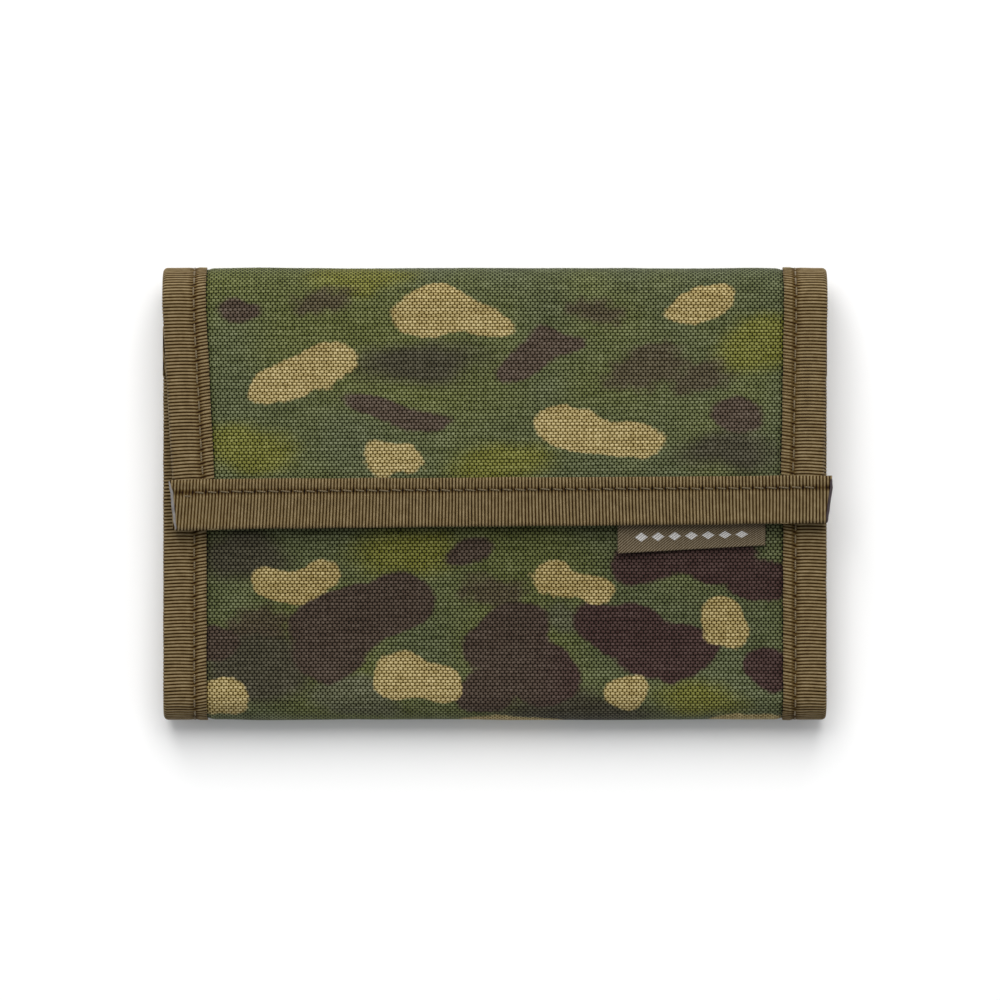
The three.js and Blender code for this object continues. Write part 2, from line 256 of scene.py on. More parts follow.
def capsules(name, paths, radius, sides=8, taper=0.35):
    """One mesh of many short round strands. paths has the axes strand, point and coordinate."""
    count, rings = paths.shape[:2]
    tangent = np.gradient(paths, axis=1)
    tangent /= np.linalg.norm(tangent, axis=-1, keepdims=True)
    chord = paths[:, -1] - paths[:, 0]
    lift = paths[:, rings // 2] - (paths[:, 0] + paths[:, -1]) / 2
    side = np.cross(chord, lift)
    side /= np.linalg.norm(side, axis=-1, keepdims=True) + 1e-12
    side = side[:, None]
    up = np.cross(side, tangent)
    along = np.linspace(-1, 1, rings)
    thick = radius * (1 - taper * along ** 4)
    turn = np.arange(sides) / sides * 2 * math.pi
    cosine, sine = np.cos(turn)[:, None], np.sin(turn)[:, None]
    ring = cosine * side[:, :, None] + sine * up[:, :, None]
    points = paths[:, :, None] + ring * thick[None, :, None, None]
    index = np.arange(count * rings * sides).reshape(count, rings, sides)
    nxt = np.roll(index, -1, 2)
    body = np.stack([index[:, :-1], nxt[:, :-1], nxt[:, 1:], index[:, 1:]], -1).reshape(-1, 4)
    faces = body.tolist() + index[:, 0, ::-1].tolist() + index[:, -1].tolist()
    u = np.broadcast_to(turn / (2 * math.pi), (count, rings, sides))
    v = np.broadcast_to(along[:, None], (count, rings, sides)) + np.arange(count)[:, None, None]
    return make(name, points.reshape(-1, 3), faces, np.stack([u, v], -1).reshape(-1, 2))


# -------- materials

def srgb(r, g, b):
    """A colour from 0 to 255 as it looks, in linear light."""
    def linear(c):
        c = c / 255
        return c / 12.92 if c <= 0.04045 else ((c + 0.055) / 1.055) ** 2.4
    return (linear(r), linear(g), linear(b), 1.0)


class Material:
    """A node material, written as sums over its sockets."""

    def __init__(self, name, sheen=0.0, specular=0.5):
        self.data = bpy.data.materials.new(name)
        self.data.use_nodes = True
        self.tree = self.data.node_tree
        self.tree.nodes.clear()
        output = self.node("ShaderNodeOutputMaterial")
        self.shader = self.node("ShaderNodeBsdfPrincipled")
        self.tree.links.new(self.shader.outputs["BSDF"], output.inputs["Surface"])
        self.set("Specular IOR Level", specular)
        self.set("Sheen Weight", sheen)
        self.set("Sheen Roughness", 0.5)

    def node(self, kind, **settings):
        node = self.tree.nodes.new(kind)
        for key, value in settings.items():
            setattr(node, key, value)
        return node

    def put(self, socket, value):
        if isinstance(value, bpy.types.NodeSocket):
            self.tree.links.new(value, socket)
        else:
            socket.default_value = value

    def set(self, name, value):
        self.put(self.shader.inputs[name], value)

    def feed(self, node, *values):
        for socket, value in zip(node.inputs, values):
            self.put(socket, value)
        return node.outputs[0]

    def math(self, operation, a, b=0.0, c=0.0):
        return self.feed(self.node("ShaderNodeMath", operation=operation), a, b, c)

    plus = partialmethod(math, "ADD")
    minus = partialmethod(math, "SUBTRACT")
    times = partialmethod(math, "MULTIPLY")

    def cosine(self, value, period):
        return self.math("COSINE", self.times(value, 2 * math.pi / period))

    def ramp(self, value, low, high, to_low=0.0, to_high=1.0):
        node = self.node("ShaderNodeMapRange", interpolation_type="SMOOTHSTEP")
        return self.feed(node, value, low, high, to_low, to_high)

    def mix(self, share, a, b, blend="MIX"):
        node = self.node("ShaderNodeMix", data_type="RGBA", blend_type=blend)
        self.put(node.inputs[0], share)
        self.put(node.inputs[6], a)
        self.put(node.inputs[7], b)
        return node.outputs[2]

    def field(self, name):
        return self.node("ShaderNodeAttribute", attribute_name=name).outputs["Fac"]

    def cloth_uv(self):
        split = self.node("ShaderNodeSeparateXYZ")
        self.feed(split, self.node("ShaderNodeUVMap", uv_map="cloth").outputs[0])
        return split.outputs[0], split.outputs[1]

    def object_point(self):
        return self.node("ShaderNodeTexCoord").outputs["Object"]

    def vector(self, x, y, z=0.0):
        return self.feed(self.node("ShaderNodeCombineXYZ"), x, y, z)

    def noise(self, vector, scale, detail=2.0, rough=0.5):
        node = self.node("ShaderNodeTexNoise")
        self.put(node.inputs["Vector"], vector)
        self.put(node.inputs["Scale"], scale)
        self.put(node.inputs["Detail"], detail)
        self.put(node.inputs["Roughness"], rough)
        return node.outputs["Fac"]

    def look(self, colour, roughness, height=None, distance=0.0, strength=1.0):
        """Sets the surface's colour, roughness and bumps, and returns the material."""
        self.set("Base Color", colour)
        self.set("Roughness", roughness)
        if height is not None:
            bump = self.node("ShaderNodeBump")
            self.put(bump.inputs["Height"], height)
            self.put(bump.inputs["Distance"], distance)
            self.put(bump.inputs["Strength"], strength)
            self.set("Normal", bump.outputs[0])
        return self.data

    def weave(self, u, v, warp, weft, slub=0.12):
        """Plain weave. Returns the yarns' height from 0 to 1, and how much the weft is on top."""
        spot = self.vector(u, v)

        def yarns(along, width, scale):
            bent = self.times(self.minus(self.noise(spot, scale), 0.5), slub * 4)
            count = self.plus(self.math("DIVIDE", along, width), bent)
            return count, self.math("ROUND", count)

        def round_yarn(value, near):
            off = self.times(self.minus(value, near), 2.0)
            left = self.minus(1.0, self.times(off, off))
            return self.math("SQRT", self.math("MAXIMUM", left, 0.0))

        def blended(value, factor, base):
            return self.math("MULTIPLY_ADD", value, factor, base)

        u, near_u = yarns(u, warp, 0.9)
        v, near_v = yarns(v, weft, 0.7)
        # The weft runs flat over most warps, and the warp shows in the small gaps between.
        over = blended(self.times(self.cosine(u, 2.0), self.cosine(near_v, 2.0)), 3.0, 1.9)
        over = self.math("MINIMUM", self.math("MAXIMUM", over, -1.0), 1.0)
        under = self.times(self.cosine(v, 2.0), self.cosine(near_u, 2.0))
        weft_height = blended(over, 0.3, blended(round_yarn(v, near_v), 0.72, -0.04))
        warp_height = blended(round_yarn(u, near_u), 0.35, blended(under, -0.35, -0.02))
        height = self.math("MAXIMUM", weft_height, warp_height)
        return height, self.ramp(self.minus(weft_height, warp_height), -0.25, 0.25)


def scaled(material, colour, factor):
    return material.mix(1.0, colour, material.vector(factor, factor, factor), "MULTIPLY")


GAMMA = 2.2
DARKEST = (0.045, 0.035, 0.02, 1.0)  # the painted shade between yarns goes no darker than this
MOST_SHADE = 0.128


def shaded(material, colour, amount, base=0.035):
    """Paints light and shade into a colour, evenly to the eye, by the same step in red, green and
    blue: a painted highlight for threads that shine a little and painted shade for gaps that
    swallow light. A light colour varies more than a dark one."""
    seen = material.node("ShaderNodeGamma")
    material.put(seen.inputs["Color"], colour)
    seen.inputs["Gamma"].default_value = 1 / GAMMA
    grey = material.node("ShaderNodeRGBToBW")
    material.put(grey.inputs[0], seen.outputs[0])
    reach = material.math("MULTIPLY_ADD", grey.outputs[0], 0.25, base)
    change = material.times(amount, material.math("MINIMUM", reach, MOST_SHADE))
    total = material.mix(1.0, seen.outputs[0], material.vector(change, change, change), "ADD")
    back = material.node("ShaderNodeGamma")
    material.put(back.inputs["Color"], material.mix(1.0, total, DARKEST, "LIGHTEN"))
    back.inputs["Gamma"].default_value = GAMMA
    return back.outputs[0]


def camouflage():
    m = Material("camouflage_nylon", sheen=0.02, specular=0.12)
    u, v = m.cloth_uv()
    spot = m.vector(u, v)
    rough_edge = m.times(m.minus(m.noise(spot, 1.1, 3.0), 0.5), 1.1)
    mottled_edge = m.times(m.minus(m.noise(spot, 0.4, 3.0, 0.5), 0.5), 4.5)

    def patch(under, kind, edge, soft, paint, most=1.0):
        """One kind of patch over what is printed already; soft is half its edge, in millimetres."""
        inside = m.plus(m.field(kind), edge)
        return m.mix(m.ramp(inside, -soft, soft, 0.0, most), under, paint)

    colour = m.mix(m.ramp(m.field("hue"), -0.9, 0.9), srgb(64, 69, 40), srgb(69, 73, 29))
    colour = m.mix(m.ramp(m.field("deep"), -0.3, 1.3, 0.0, 0.5), colour, srgb(57, 62, 28))
    colour = patch(colour, "lime", rough_edge, 2.0, srgb(79, 79, 19))
    colour = patch(colour, "olive", rough_edge, 2.2, srgb(46, 41, 29), 0.9)
    colour = patch(colour, "grey", rough_edge, 1.2, srgb(66, 67, 44))
    colour = patch(colour, "mottle", mottled_edge, 1.2, srgb(56, 45, 31), 0.82)
    # The browns are redder at the front's right, and lighter on the flap.
    on_flap = m.ramp(v, 10.0, 20.0)
    reddish = m.times(m.ramp(u, 4.0, 20.0), m.minus(1.0, on_flap))
    brown = m.mix(reddish, srgb(53, 41, 31), srgb(48, 30, 26))
    brown = m.mix(m.times(on_flap, 0.6), brown, srgb(62, 50, 38))
    colour = patch(colour, "brown", rough_edge, 0.45, brown)
    tan = m.mix(m.noise(spot, 0.12), srgb(124, 107, 61), srgb(132, 116, 69))
    colour = patch(colour, "tan", rough_edge, 0.3, tan)

    height, weft_top = m.weave(u, v, WARP, WEFT)
    # Painted light and shade of the weave: lighter on the yarn tops and where the weft lies on top,
    # darker in the gaps between yarns.
    shade = m.plus(m.ramp(height, 0.3, 0.9, -2.3, 0.75), m.ramp(weft_top, 0, 1, -0.55, 0.3))
    drift = m.ramp(m.noise(spot, 0.9, 5.0, 0.7), 0.25, 0.75, -0.4, 0.4)
    # Single yarns are lighter or darker along their length.
    along_weft = m.noise(m.vector(m.times(u, 0.13), m.times(v, 1.8)), 1.0)
    along_warp = m.noise(m.vector(m.times(u, 2.2), m.times(v, 0.13), 9.0), 1.0)
    drift = m.plus(drift, m.ramp(along_weft, 0.3, 0.7, -0.45, 0.35))
    drift = m.plus(drift, m.ramp(along_warp, 0.3, 0.7, -0.3, 0.2))
    # Painted shade under the side tapes and on the top roll, and painted light on the bottom roll.
    shade = m.minus(m.plus(shade, drift), m.times(m.field("painted_light_and_shade"), 1.8))
    roughness = m.ramp(height, 0, 1, 0.95, 0.68)
    return m.look(shaded(m, colour, shade), roughness, height, 0.00016, 0.9)


def grosgrain(name, bright, dark):
    """Ribbed tape. The ribs are in the mesh. The field 'rib' is 1 on a crest and 0 in a groove,
    'number' counts the ribs, and 'hole' is 1 in a needle hole."""
    m = Material(name, sheen=0.02, specular=0.12)
    u, v = m.cloth_uv()
    rib = m.field("rib")
    per_rib = m.noise(m.vector(m.times(m.field("number"), 0.73), 0.0), 1.0, 1.0)
    streak = m.noise(m.vector(m.times(u, 0.55), m.times(v, 0.55)), 1.0, 4.0, 0.65)
    threads = m.plus(m.cosine(u, 0.21), m.times(m.noise(m.vector(u, v), 4.0), 0.8))
    # Painted highlight on the rib crests and painted shade in the grooves.
    shade = m.ramp(rib, 0.1, 1.0, -1.8, 2.1)
    shade = m.plus(shade, m.ramp(per_rib, 0.25, 0.75, -0.2, 0.2))
    shade = m.plus(shade, m.ramp(streak, 0.25, 0.75, -0.35, 0.35))
    shade = m.plus(shade, m.ramp(threads, -1.0, 1.6, -0.3, 0.3))
    # Painted shade in the needle holes.
    shade = m.minus(shade, m.times(m.field("hole"), 1.7))
    colour = shaded(m, m.mix(streak, dark, bright), shade)
    return m.look(colour, m.ramp(rib, 0, 1, 0.95, 0.66), threads, 0.00003, 0.8)


def plain_cloth(name, colour_a, colour_b, warp, weft):
    m = Material(name, sheen=0.03, specular=0.15)
    u, v = m.cloth_uv()
    height, weft_top = m.weave(u, v, warp, weft, 0.08)
    colour = m.mix(m.noise(m.vector(u, v), 0.25, 4.0), colour_a, colour_b)
    # Painted shade in the gaps between yarns and painted highlight where the weft lies on top.
    shade = m.times(m.ramp(height, 0.1, 0.95, 0.6, 1.25), m.ramp(weft_top, 0, 1, 0.85, 1.1))
    roughness = m.ramp(height, 0, 1, 0.92, 0.7)
    return m.look(scaled(m, colour, shade), roughness, height, 0.00008, 0.7)


def twill():
    """The label's cloth: fine lines that climb to the right."""
    m = Material("label_twill", sheen=0.03, specular=0.15)
    u, v = m.cloth_uv()
    line = m.cosine(m.minus(v, m.times(u, 0.85)), 0.58)
    height = m.plus(m.times(line, 0.7), m.times(m.cosine(u, 0.24), 0.3))
    colour = m.mix(m.noise(m.vector(u, v), 0.6, 4.0), srgb(83, 71, 53), srgb(95, 83, 63))
    # A row of small lozenges in pale thread runs along the middle.
    left, right = LABEL_X
    across = m.minus(LOZENGE / 2, m.math("PINGPONG", m.minus(u, left), LOZENGE / 2))
    up = m.math("ABSOLUTE", m.minus(v, LABEL_Y))
    off = m.plus(m.times(across, 0.75), up)
    ends = m.times(m.ramp(u, left - 0.02, left), m.ramp(u, right, right + 0.02, 1, 0))
    pale = m.times(m.ramp(off, 0.88, 1.02, 1, 0), ends)
    colour = m.mix(pale, colour, srgb(176, 174, 172))
    # Painted highlight on the twill's lines and painted shade in its grooves.
    shade = m.plus(m.ramp(height, -1, 1, -1.3, 1.3), m.times(m.cosine(u, 0.3), 0.4))
    roughness = m.ramp(height, -1, 1, 0.9, 0.65)
    return m.look(shaded(m, colour, shade, 0.03), roughness, height, 0.00005, 0.9)


def thread(name, light, dark):
    m = Material(name, sheen=0.1, specular=0.4)
    u, v = m.cloth_uv()
    twist = m.cosine(m.plus(m.times(v, 3.0), u), 1.0)
    colour = m.mix(m.noise(m.vector(v, 0.0), 0.9), dark, light)
    # Painted highlight and painted shade along the twist of the thread.
    colour = scaled(m, colour, m.ramp(twist, -1, 1, 0.7, 1.15))
    return m.look(colour, m.ramp(twist, -1, 1, 0.7, 0.5), twist, 0.00004, 0.8)


def pile(name, colour_a, colour_b, size):
    m = Material(name, sheen=0.25, specular=0.2)
    tuft = m.noise(m.vector(*m.cloth_uv()), size, 4.0, 0.7)
    colour = m.mix(m.ramp(tuft, 0.3, 0.7), colour_a, colour_b)
    return m.look(colour, m.ramp(tuft, 0.2, 0.8, 0.98, 0.8), tuft, 0.0004)


def zip_coil():
    m = Material("zip_coil_nylon", specular=0.5)
    worn = m.noise(m.object_point(), 900.0, 3.0)
    colour = m.mix(worn, srgb(40, 36, 28), srgb(62, 56, 44))
    return m.look(colour, m.ramp(worn, 0.2, 0.8, 0.42, 0.6))


def zip_metal():
    m = Material("zip_metal_painted", specular=0.5)
    worn = m.noise(m.object_point(), 700.0, 5.0, 0.7)
    bare = m.ramp(worn, 0.62, 0.7)
    m.set("Metallic", bare)
    colour = m.mix(bare, srgb(52, 47, 38), srgb(150, 132, 92))
    return m.look(colour, m.ramp(worn, 0.2, 0.8, 0.5, 0.3), worn, 0.00004, 0.5)


def clear_film():
    m = Material("clear_vinyl")
    spot = m.object_point()
    haze = m.noise(spot, 60.0, 4.0)
    m.set("Alpha", 0.1)
    colour = m.mix(haze, srgb(222, 225, 220), srgb(236, 238, 234))
    roughness = m.ramp(haze, 0.2, 0.8, 0.1, 0.22)
    return m.look(colour, roughness, m.noise(spot, 35.0), 0.0006, 0.4)


def melted(name, dark, light):
    m = Material(name)
    spot = m.object_point()
    colour = m.mix(m.noise(spot, 900.0, 4.0), srgb(*dark), srgb(*light))
    return m.look(colour, 0.5, m.noise(spot, 1500.0, 4.0), 0.0001, 0.8)


def floor_paper():
    m = Material("floor_paper", specular=0.1)
    tone = m.noise(m.object_point(), 3.0)
    return m.look(m.mix(tone, srgb(246, 246, 247), srgb(248, 248, 248)), 0.85)


label_low, label_high = box_mm("woven_label")
LABEL_X = (label_low[0] + 3.0, label_high[0] - 3.0)  # from where to where the lozenges run
LOZENGE = (LABEL_X[1] - LABEL_X[0]) / 7  # from one to the next
LABEL_Y = label_low[1] + 3.1
CAMO = camouflage()
TAPE_CLOTH = grosgrain("grosgrain_tape", srgb(82, 64, 30), srgb(73, 56, 24))
LINING_CLOTH = plain_cloth("lining_cloth", srgb(74, 66, 46), srgb(84, 75, 54), 0.33, 0.33)
POCKET_CLOTH = plain_cloth("pocket_cloth", srgb(76, 68, 48), srgb(87, 78, 57), 0.4, 0.4)
ZIP_CLOTH = plain_cloth("zip_tape_cloth", srgb(66, 58, 42), srgb(76, 67, 49), 0.5, 0.3)
TWILL = twill()
THREAD = thread("sewing_thread", srgb(124, 108, 78), srgb(86, 72, 48))
EDGE_THREAD = thread("edge_thread", srgb(118, 103, 74), srgb(80, 66, 42))
LOOP = pile("loop_pile", srgb(58, 51, 37), srgb(96, 86, 64), 2.2)
HOOK = pile("hook_pile", srgb(48, 42, 31), srgb(88, 78, 58), 3.2)


def paint(obj, material):
    obj.data.materials.clear()
    obj.data.materials.append(material)


def dress(obj, material):
    paint(obj, material)


def stand_in(obj, material, slot, node, body, flat=None, held="laid", **more):
    """Material, the CAD node it stands for and the body it rides on. Its flat size in metres is not
    used.
    """
    dress(obj, material)
    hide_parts(node)
    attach(obj, body)


def box_flat(low, high):
    return (high[0] - low[0]) * MM, (high[1] - low[1]) * MM


# -------- the camouflage's fields

def patches(x, y, shapes, seed):
    """How far inside the nearest patch each point is, in millimetres. A patch is x, y, half its
    length, half its width and its turn in degrees. Neighbouring patches flow together."""
    wide, small, soft = 1.4, 0.49, 0.8
    wx = x + wide * wander(x, y, 7.0, seed) + small * wander(x, y, 2.6, seed + 1)
    wy = y + wide * wander(x, y, 7.0, seed + 2) + small * wander(x, y, 2.6, seed + 3)
    total = np.zeros_like(x)
    for cx, cy, rx, ry, turn in shapes:
        c, s = math.cos(math.radians(turn)), math.sin(math.radians(turn))
        a = ((wx - cx) * c + (wy - cy) * s) / rx
        b = ((wy - cy) * c - (wx - cx) * s) / ry
        inside = (1 - np.sqrt(a * a + b * b)) * min(rx, ry)
        total += np.exp(np.clip(inside, -30, 30) / soft)
    return soft * np.log(total + 1e-12)


FLAP_PATCHES = {
    "tan": [
        (-43, 21.5, 6.2, 3.8, 22), (-35, 25, 7.4, 3.6, 12), (-11, 36.5, 8.4, 4.4, 6),
        (-2.5, 34.6, 5.2, 3.0, -18), (15, 13, 7.4, 4.6, -12), (25.5, 10.4, 8.6, 3.9, -4),
        (40, 37.5, 7.2, 3.8, 14), (-21, 6.5, 6.4, 3.8, 0),
    ],
    "brown": [
        (-23, 17, 7.6, 2.6, -14), (-14, 14.6, 5.5, 2.4, 4), (6, 26, 6.2, 3.0, 24),
        (12.5, 29.6, 4.6, 2.2, 10), (48, 16, 5.2, 3.2, -20), (-50, 36, 4.2, 2.2, 0),
    ],
    "mottle": [
        (29, 25, 8, 3.8, 16), (41, 23, 6.5, 3.2, -6), (20, 36.5, 6, 2.6, -10),
        (-34, 38.5, 6, 2.4, 8),
    ],
    "lime": [(-50, 9, 9, 5, -8), (1, 6, 9, 4.2, 6), (51, 30, 8, 5, 20), (-26, 44, 10, 4, 0)],
    "olive": [(-15, 26, 12, 4.2, 6), (46, 8, 9, 4, 0)],
    "grey": [],
}
FRONT_PATCHES = {
    "tan": [
        (-42, -18.5, 5.6, 3.6, -10), (-35.5, -16.8, 4.6, 3.2, 10), (-19, -35.5, 6.2, 4.6, 12),
        (-11.5, -37.5, 5.2, 4.2, -12), (11.5, -17, 5.2, 3.4, 8), (18, -18.6, 4.2, 3.0, -10),
        (26, -39.5, 4.6, 3.8, 0), (45.5, -25.5, 5.4, 4.2, -16), (-54, -40.5, 5.0, 3.6, 0),
        (4, -47.6, 11, 3.0, 3), (50, -47.0, 8, 3.0, 0),
    ],
    "brown": [
        (-30, -25, 11.0, 6.4, 16), (-19, -22, 8.5, 5.8, 30), (-33, -32, 7.5, 4.6, 0),
        (2, -29, 9.0, 6.6, 24), (9, -35.5, 8.0, 5.8, -10), (-2, -40, 6, 4, 0),
        (25, -27, 10.0, 5.8, -18), (34.5, -32, 9.0, 5.2, 10), (29, -14, 6.5, 3.8, -8),
        (43, -13, 9, 4.4, 6), (53, -17.5, 5.8, 4.4, 0), (53.5, -35, 5.0, 4.6, 0),
        (-54, -29, 4.6, 3.8, 0), (-5, -11.5, 4.4, 2.2, 8),
    ],
    "mottle": [(-47, -25, 7, 3.4, 10), (0, -19.5, 6, 3, 0)],
    "lime": [(-18, -12, 10, 4.2, 5), (40, -41, 8, 3.6, -8)],
    "olive": [(-46, -34, 11, 7, 0), (16, -44, 14, 5, -6), (-50, -13, 8, 5, 0)],
    "grey": [(-28, -41, 8, 4.2, -10), (14, -24, 5, 3, 0)],
}


def back_patches():
    """The back's pattern: a seeded scatter with the same kinds of patch."""
    rng = np.random.default_rng(11)
    kinds = {
        "tan": (8, 6.5, 3.6), "brown": (11, 9, 4.8), "mottle": (5, 10, 5),
        "lime": (6, 9, 4.5), "olive": (6, 12, 6), "grey": (5, 10, 5),
    }

    def patch(rx, ry):
        x, y = rng.uniform(-60, 60), rng.uniform(4, BACK_LENGTH - 4)
        return x, y, rx * rng.uniform(0.6, 1.4), ry * rng.uniform(0.7, 1.3), rng.uniform(-35, 35)

    return {kind: [patch(rx, ry) for _ in range(count)] for kind, (count, rx, ry) in kinds.items()}


BACK_PATCHES = back_patches()


def camo_fields(x, s):
    """Fields for the camouflage material, at points of the strip."""
    flap_y = TOP_Y - (s - FLAP_START)
    front_y = BOTTOM_Y + (FRONT_START - s)
    places = ((flap_y, FLAP_PATCHES), (front_y, FRONT_PATCHES), (s, BACK_PATCHES))
    fields = {}
    for i, kind in enumerate(FLAP_PATCHES):
        inside = [
            patches(x, y, table[kind], 100 * n + 10 * i) for n, (y, table) in enumerate(places, 1)
        ]
        fields[kind] = np.clip(np.max(inside, 0), -12, 12)
    # Painted shade, darker under the side tapes and on the top roll, and painted light, lighter on
    # the bottom roll.
    on_top_roll = step(s, TOP_MIDDLE - 4, TOP_MIDDLE + 2) * step(FLAP_START + 5 - s, 0, 9)
    on_bottom_roll = step(s, FRONT_START - 14, FRONT_START - 2)
    under_tape = 1 - step(TAPE_INNER - np.abs(x), -0.2, 0.7)
    fields["painted_light_and_shade"] = under_tape + 0.12 * on_top_roll - 0.16 * on_bottom_roll
    yellower_left = 0.3 - 0.8 * step(x, 0, 30)
    fields["hue"] = wander(x, s, 19.0, 41) + 0.5 * wander(x, s, 8.0, 42) + yellower_left
    fields["deep"] = wander(x, s, 16.0, 51) + 0.4 * wander(x, s, 7.0, 52)
    return fields


# -------- sheets of the strip

def grid(x0, x1, dx, s0, s1, ds):
    xs = np.linspace(x0, x1, max(3, int(round((x1 - x0) / dx)) + 1))
    ss = np.linspace(s0, s1, max(3, int(round(abs(s1 - s0) / ds)) + 1))
    return np.meshgrid(xs, ss)


def bend(obj):
    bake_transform(obj)


def finish_section(obj, section, slot, material, cloth, width, length):
    """Material and the CAD nodes it stands for. Its flat size in millimetres is not used."""
    dress(obj, material)
    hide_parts(*(cloth.format(body) for body in SECTIONS[section][2]))
    bend(obj)


def in_section(section, inset=0.6):
    """The section's range of s, drawn in at a free edge."""
    s0, s1 = SECTIONS[section][0]
    return s0 + inset * (section == "front"), s1 - inset * (section == "flap")


def outer_depth(x, s):
    """How the outer fabric lies: under the side tapes, full between them and puckered beside."""
    beside = TAPE_INNER - np.abs(x)
    under = 0.34 * (1 - step(beside, -0.1, 1.5))
    full = 0.13 * wander(x, s, 17.0, 7) + 0.05 * wander(x, s, 6.0, 8)
    pucker = 0.05 * np.sin(2 * math.pi * s / STITCH) * np.exp(-np.clip(beside, 0, None) / 1.6)
    open_cloth = step(beside, 0.2, 6.0)
    return 0.14 + under + (full - 0.05) * open_cloth + pucker * (beside > 0)


def hem_dip(s):
    """The outer fabric goes down under the tapes of the two free edges."""
    return 0.22 * (2 - step(FLAP_END - s, *HEM_RISE) - step(s - FRONT_END, *HEM_RISE))


for section in SECTIONS:
    s0, s1 = in_section(section)
    size = (2 * LAYER_EDGE, abs(s1 - s0))
    across, along = (0.6, 0.55) if section in ("front", "flap") else (0.9, 0.8)
    x, s = grid(-LAYER_EDGE, LAYER_EDGE, across, s0, s1, along)
    depth = outer_depth(x, s) + hem_dip(s)
    outer = place(x, s, depth)
    inner = place(x, s, np.maximum(OUTER_DEPTH, depth + 0.35))
    cloth = slab(f"outer_fabric_{section}", outer, inner, np.stack([x, s], -1), camo_fields(x, s))
    finish_section(cloth, section, "camouflage_nylon", CAMO, "{}_shell", *size)

    x, s = grid(-LAYER_EDGE, LAYER_EDGE, 1.2, s0, s1, 1.0)
    ripple = 0.06 * wander(x, s, 11.0, 9)
    outer, inner = (place(x, s, depth + ripple) for depth in LINING_DEPTHS)
    lining = slab(f"lining_{section}", outer, inner, np.stack([x, s], -1))
    finish_section(lining, section, "lining_cloth", LINING_CLOTH, "{}_lining", *size)


# -------- side tapes

def tape_depth(s):
    """The depth of the side tape's inner leg: deeper where pockets are sewn in."""
    on_back = step(s, *POCKET_RISE) * (1 - step(s, BACK_LENGTH - 6, BACK_LENGTH))
    on_front = step(FRONT_START - s, *POCKET_RISE)
    return (
        FOLD_TAPE_DEPTH
        + (BACK_TAPE_DEPTH - FOLD_TAPE_DEPTH) * on_back
        + (FRONT_TAPE_DEPTH - FOLD_TAPE_DEPTH) * on_front
    )


def rounded_path(width, thick, corner, straight_points):
    """A tape's section, folded round an edge: distance from its free edge and depth, with normals.
    thick is an array, and each of its values has its own path."""
    reach = width - corner
    ease = np.linspace(0, 1, straight_points)
    turn = np.linspace(0, math.pi / 2, 5)[1:-1]
    sine, cosine = np.sin(turn), np.cos(turn)
    still, past = np.zeros(straight_points), np.ones(straight_points)
    back = np.linspace(0, 1, 4)       # over the edge, from face to face
    w = np.concatenate([
        reach * ease, reach + corner * sine, np.full(4, width), reach + corner * cosine,
        reach * ease[::-1],
    ])
    share = np.concatenate([still, 0 * turn, back, 0 * turn + 1, past])
    drop = corner * np.concatenate([still, 1 - cosine, 1 - 2 * back, sine - 1, still])
    out_w = np.concatenate([still, sine, np.ones(4), cosine, still])
    out_d = np.concatenate([-past, -cosine, 1.2 * back - 0.6, sine, past])
    length = np.hypot(out_w, out_d)
    return w, thick[:, None] * share + drop, out_w / length, out_d / length


def ribs(phase):
    """Grosgrain's section: round ribs with narrow grooves."""
    return np.abs(np.sin(math.pi * phase))


def needle_holes(w, along):
    """1 in the middle of each hole of a seam, and 0 away from it."""
    between = np.abs(np.sin(math.pi * along / STITCH))
    return np.exp(-((w - SEAM_INSET) / 0.27) ** 2) * between ** 8


def rib_fields(phase, rib, hole):
    return {"rib": rib, "number": np.floor(phase), "hole": hole}


def tape_uv(w, depth, middle, along):
    """Across the tape and along it. The leg inside the edge has its own part of the material."""
    return np.stack([w + np.where(depth > middle, 20, 0), along], -1)


